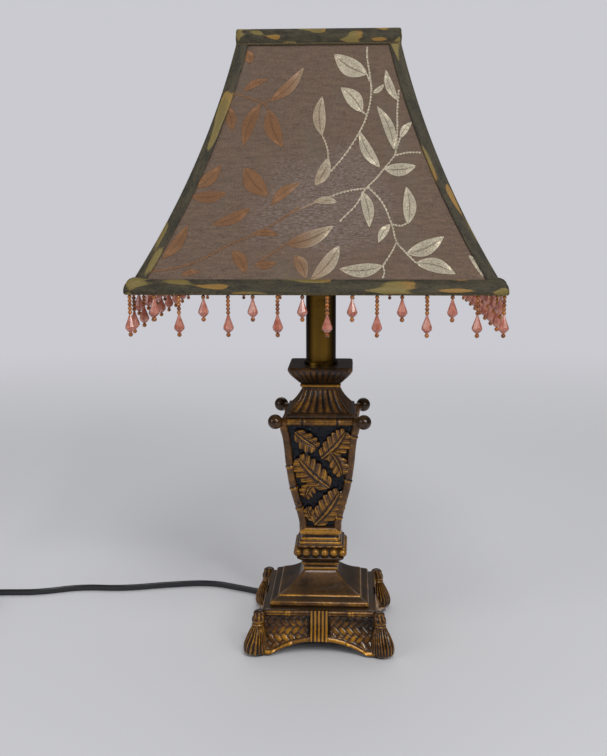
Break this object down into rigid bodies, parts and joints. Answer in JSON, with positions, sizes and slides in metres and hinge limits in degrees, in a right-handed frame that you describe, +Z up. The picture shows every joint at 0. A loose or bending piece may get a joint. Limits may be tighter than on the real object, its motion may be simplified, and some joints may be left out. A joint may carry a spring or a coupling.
{
  "type": "table lamp",
  "caption": "Small accent table lamp: carved square stand on tasselled feet, brass neck tube, keyed socket and harp, and a square bell shade with a beaded fringe.",
  "frame": {"origin": "on the table, under the middle of the foot", "axes": "+Z up along the stand, -Y towards the front that the picture shows, +X to the right"},
  "size_m": [0.5139, 0.2566, 0.4728],
  "materials": {
    "patina_resin": "antique bronze paint over cast resin, semi-gloss, gold rubbed on raised edges",
    "column_resin": "cast resin, glossy blue-black recess between bronze posts",
    "felt": "felt",
    "antique_brass": "antique, brushed",
    "zinc_steel": "brass-plated steel",
    "bright_brass": "polished",
    "shell_aluminium": "drawn, bright",
    "black_phenolic": "moulded",
    "paperboard": "pressed board",
    "solder": "dull",
    "bulb_glass": "frosted white",
    "cord_vinyl": "black vinyl",
    "wire_copper": "insulated wire",
    "blade_brass": "plated",
    "shade_brocade": "taupe slub cloth with woven vine leaves",
    "trim_brocade": "dark satin ribbon with gold leaf pattern",
    "lining_cloth": "pale lining",
    "tape_cloth": "woven tape",
    "bead_thread": "thread",
    "amber_seed": "amber glass",
    "rose_glass": "faceted rose-amber glass"
  },
  "bodies": {
    "base": {"foot_casting": "patina_resin", "beaded_collar": "patina_resin", "column_casting": "column_resin", "fluted_roof": "patina_resin", "fluted_cup": "patina_resin", "felt_pads": "felt", "threaded_pipe": "zinc_steel", "bottom_washer": "zinc_steel", "bottom_nut": "zinc_steel", "saddle_locknut": "zinc_steel", "neck_tube": "antique_brass", "tube_base_ring": "antique_brass", "tube_cap": "antique_brass", "harp_saddle": "zinc_steel", "socket_cap": "bright_brass", "cap_set_screw": "bright_brass", "socket_shell": "bright_brass", "socket_liner": "paperboard", "socket_block": "black_phenolic", "screw_shell": "shell_aluminium", "centre_contact": "bright_brass", "terminal_screws": "bright_brass", "inner_lead": "cord_vinyl", "lead_wires": "wire_copper", "cord_bushing": "black_phenolic", "cord_stretch": "cord_vinyl", "cord_coil": "cord_vinyl", "plug_body": "cord_vinyl", "plug_blades": "blade_brass"},
    "key": {"key_shaft": "bright_brass", "key_wing": "black_phenolic"},
    "bulb_contact": {"bulb_tip": "solder"},
    "bulb": {"bulb_screw_cap": "shell_aluminium", "bulb_glass": "bulb_glass"},
    "harp": {"harp": "zinc_steel"},
    "ferrule_left": {"left_ferrule": "zinc_steel"},
    "ferrule_right": {"right_ferrule": "zinc_steel"},
    "stud": {"harp_stud": "bright_brass"},
    "shade": {"shade_fitter": "zinc_steel", "shade_ribs": "zinc_steel", "shade_bottom_ring": "zinc_steel", "fabric_front": "shade_brocade", "fabric_right": "shade_brocade", "fabric_back": "shade_brocade", "fabric_left": "shade_brocade", "shade_lining": "lining_cloth", "top_trim": "trim_brocade", "bottom_trim": "trim_brocade", "corner_trims": "trim_brocade", "fringe_tape": "tape_cloth", "fringe_threads": "bead_thread", "seed_beads": "amber_seed", "teardrop_beads": "rose_glass", "end_beads": "amber_seed"},
    "finial_thread": {"finial_insert": "bright_brass"},
    "finial": {"finial_knob": "antique_brass"}
  },
  "joints": [
    {"name": "key_turn", "type": "hinge", "parent": "base", "child": "key", "pos_m": [0, -0.025, 0.317], "axis": [0, -1, 0], "continuous": true},
    {"name": "bulb_lift", "type": "slide", "parent": "base", "child": "bulb_contact", "axis": [0, 0, 1], "range_m": [0, 0.01815]},
    {"name": "bulb_turn", "type": "hinge", "parent": "bulb_contact", "child": "bulb", "pos_m": [0, 0, 0.335], "axis": [0, 0, 1], "range_deg": [0, 1800]},
    {"name": "harp_lift", "type": "slide", "parent": "base", "child": "harp", "axis": [0, 0, 1], "range_m": [0, 0.014]},
    {"name": "ferrule_left_slide", "type": "slide", "parent": "harp", "child": "ferrule_left", "axis": [0, 0, 1], "range_m": [0, 0.012]},
    {"name": "ferrule_right_slide", "type": "slide", "parent": "harp", "child": "ferrule_right", "axis": [0, 0, 1], "range_m": [0, 0.012]},
    {"name": "shade_swivel", "type": "hinge", "parent": "harp", "child": "stud", "pos_m": [0, 0, 0.4535], "axis": [0, 0, 1], "continuous": true},
    {"name": "shade_lift", "type": "slide", "parent": "stud", "child": "shade", "axis": [0, 0, 1], "range_m": [0, 0.18]},
    {"name": "finial_lift", "type": "slide", "parent": "shade", "child": "finial_thread", "axis": [0, 0, 1], "range_m": [0, 0.00565]},
    {"name": "finial_turn", "type": "hinge", "parent": "finial_thread", "child": "finial", "pos_m": [0, 0, 0.46], "axis": [0, 0, 1], "range_deg": [0, 2160]}
  ],
  "couplings": [
    {"joint": "bulb_lift", "follows": "bulb_turn", "m_per_rad": 0.0005776},
    {"joint": "finial_lift", "follows": "finial_turn", "m_per_rad": 0.0001496}
  ]
}
